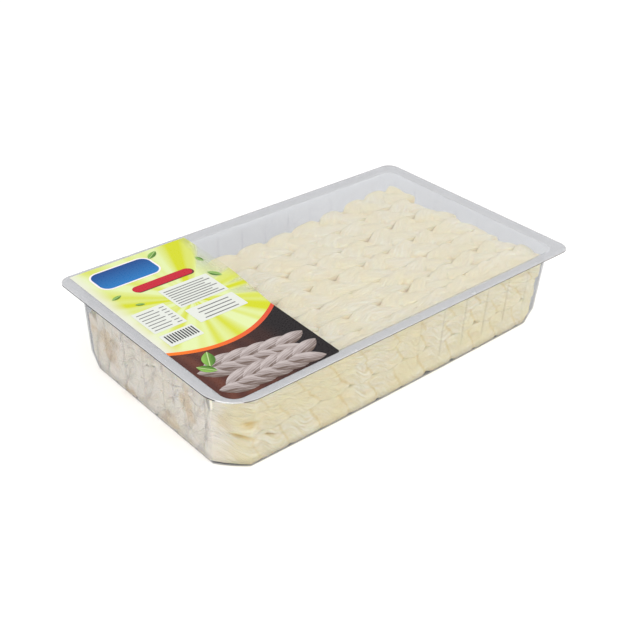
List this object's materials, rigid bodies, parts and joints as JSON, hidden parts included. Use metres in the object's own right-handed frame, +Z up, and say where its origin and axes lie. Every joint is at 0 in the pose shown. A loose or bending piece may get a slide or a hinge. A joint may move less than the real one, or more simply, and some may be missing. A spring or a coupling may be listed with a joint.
{
  "type": "sealed tray of braided string cheese",
  "caption": "Clear formed plastic tray with a flat rim and a sealed clear lid film, filled with layers of plaited string cheese ropes laid lengthwise.",
  "frame": {"origin": "middle of the tray's flat base", "axes": "+X along the tray's long side and the ropes, away from the peel corner's end; +Z up, through the lid film"},
  "size_m": [0.33, 0.1976, 0.0671],
  "materials": {
    "tray_plastic": "clear formed sheet, glossy, faintly lavender grey",
    "film_plastic": "clear glossy film with a printed label at the left end",
    "string_cheese": "moist pale cream, fine fibres along the strands"
  },
  "bodies": {
    "root": {"tray": "tray_plastic", "lid_film": "film_plastic", "rope_low_1": "string_cheese", "rope_low_2": "string_cheese", "rope_low_3": "string_cheese", "rope_low_4": "string_cheese", "rope_low_5": "string_cheese", "rope_low_6": "string_cheese", "rope_low_7": "string_cheese", "rope_mid_1": "string_cheese", "rope_mid_2": "string_cheese", "rope_mid_3": "string_cheese", "rope_mid_4": "string_cheese", "rope_mid_5": "string_cheese", "rope_mid_6": "string_cheese", "rope_mid_7": "string_cheese", "rope_top_1": "string_cheese", "rope_top_2": "string_cheese", "rope_top_3": "string_cheese", "rope_top_4": "string_cheese", "rope_top_5": "string_cheese", "rope_top_6": "string_cheese", "rope_top_7": "string_cheese"}
  },
  "joints": []
}
